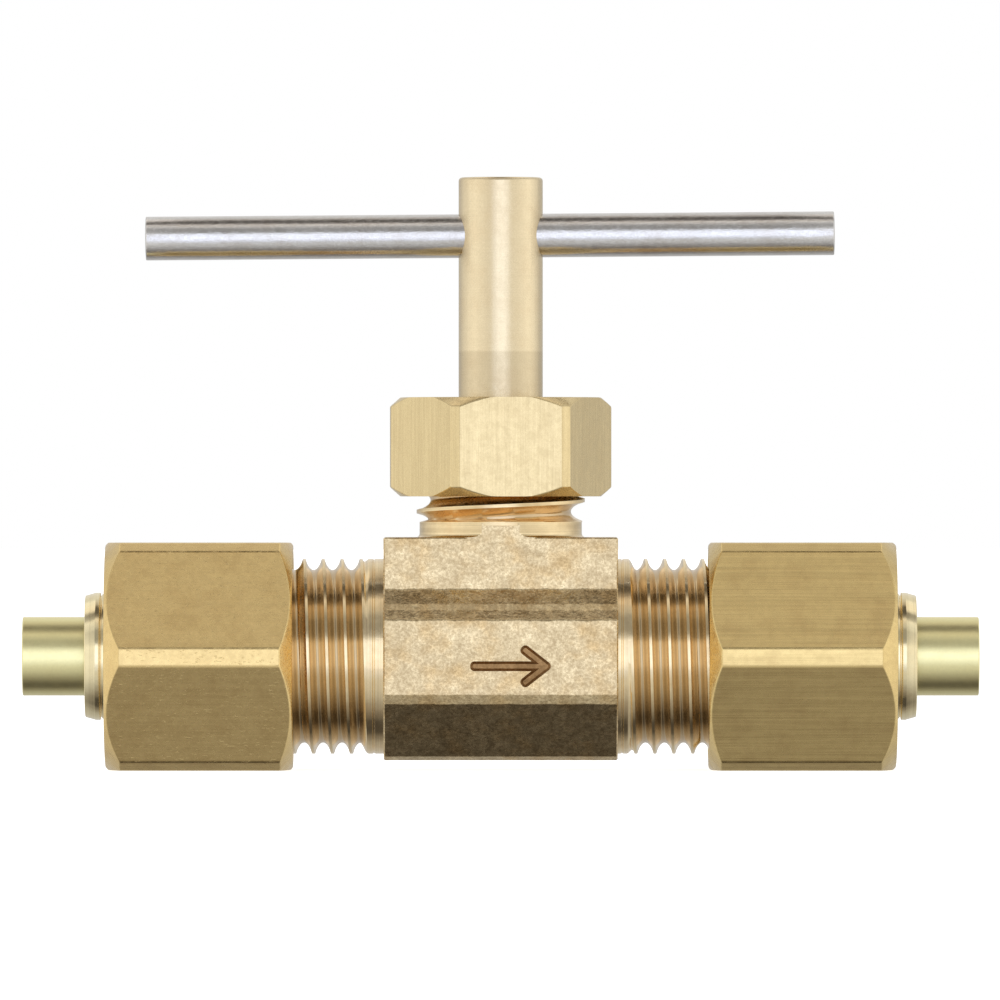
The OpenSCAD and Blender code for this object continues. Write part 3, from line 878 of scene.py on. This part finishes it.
def studio_world():
    """A white studio as the metal sees it: soft panels in front, dark gaps above and below.

    The camera itself sees plain white.
    """
    world = bpy.data.worlds.new("studio")
    bpy.context.scene.world = world
    world.use_nodes = True
    tree = world.node_tree
    tree.nodes.clear()
    ray = node(tree, "ShaderNodeTexCoord").outputs["Generated"]
    axes = node(tree, "ShaderNodeSeparateXYZ", {0: ray}).outputs
    front = calc(tree, "MULTIPLY", axes["Y"], -1.0)
    over = light_round(tree, axes["Z"], front, PITCH_LIGHT)
    around = light_round(tree, axes["X"], front, BEARING_LIGHT)
    side = calc(tree, "MULTIPLY", axes["X"], axes["X"])
    rise = calc(tree, "MULTIPLY", axes["Z"], axes["Z"])
    share = calc(tree, "DIVIDE", side, calc(tree, "ADD", calc(tree, "ADD", side, rise), SOFT_SHARE))
    level = mixed(tree, share, over, around)
    sides = calc(tree, "MULTIPLY", calc(tree, "ABSOLUTE", axes["X"]), PANEL_TOWARDS[0])
    facing = calc(tree, "MULTIPLY_ADD", axes["Y"], PANEL_TOWARDS[1],
                  calc(tree, "MULTIPLY_ADD", axes["Z"], PANEL_TOWARDS[2], sides))
    level = mixed(tree, smooth(tree, facing, *PANEL_EDGE), level, (PANEL_LEVEL / BRIGHTEST,) * 3)
    cool = smooth(tree, front, *COOL_EDGE)
    steep = smooth(tree, calc(tree, "ABSOLUTE", axes["Z"]), *WARM_EDGE)
    colour = mixed(tree, cool, mixed(tree, steep, NEUTRAL, WARM), COOL)
    result = mixed(tree, 1.0, level, colour, "MULTIPLY")
    light = node(tree, "ShaderNodeBackground", {"Color": result, "Strength": BRIGHTEST})
    plain = node(tree, "ShaderNodeBackground", {"Color": (1, 1, 1, 1), "Strength": 1.0})
    seen = node(tree, "ShaderNodeLightPath").outputs["Is Camera Ray"]
    shown = node(tree, "ShaderNodeMixShader", {0: seen, 1: light.outputs[0], 2: plain.outputs[0]})
    node(tree, "ShaderNodeOutputWorld", {"Surface": shown.outputs[0]})


def studio_floor():
    """A pale floor under the object, clear from below. The metal does not mirror it."""
    reach = 4.0
    corners = [(-reach, -reach, 0), (reach, -reach, 0), (reach, reach, 0), (-reach, reach, 0)]
    mesh = bpy.data.meshes.new("floor")
    mesh.from_pydata(corners, [], [(0, 1, 2, 3)])
    obj = bpy.data.objects.new("floor", mesh)
    bpy.context.scene.collection.objects.link(obj)
    obj.visible_glossy = False
    material, tree = new_material("floor paint")
    matte = node(tree, "ShaderNodeBsdfDiffuse", {"Color": (0.9, 0.9, 0.9, 1)})
    glow = node(tree, "ShaderNodeEmission", {"Color": (1, 1, 1, 1), "Strength": 0.8})
    total = node(tree, "ShaderNodeAddShader", {0: matte.outputs[0], 1: glow.outputs[0]})
    below = node(tree, "ShaderNodeNewGeometry").outputs["Backfacing"]
    clear = node(tree, "ShaderNodeBsdfTransparent")
    shown = node(tree, "ShaderNodeMixShader", {0: below, 1: total.outputs[0], 2: clear.outputs[0]})
    node(tree, "ShaderNodeOutputMaterial", {"Surface": shown.outputs[0]})
    paint(obj, material)


def camera():
    """Square on to the front, far away, with a long lens."""
    distance, shown = 0.9, 55.87 * MM
    aside, above_run = -0.04 * MM, 8.73 * MM
    data = bpy.data.cameras.new("camera")
    data.sensor_width = 36
    data.lens = 36 * distance / shown
    data.clip_start = 0.01
    cam = bpy.data.objects.new("camera", data)
    bpy.context.scene.collection.objects.link(cam)
    cam.location = (aside, -distance, RUN_Z + above_run)
    cam.rotation_euler = (math.pi / 2, 0, 0)
    bpy.context.scene.camera = cam


studio_world()
studio_floor()
camera()
bpy.context.scene.view_settings.view_transform = "Standard"
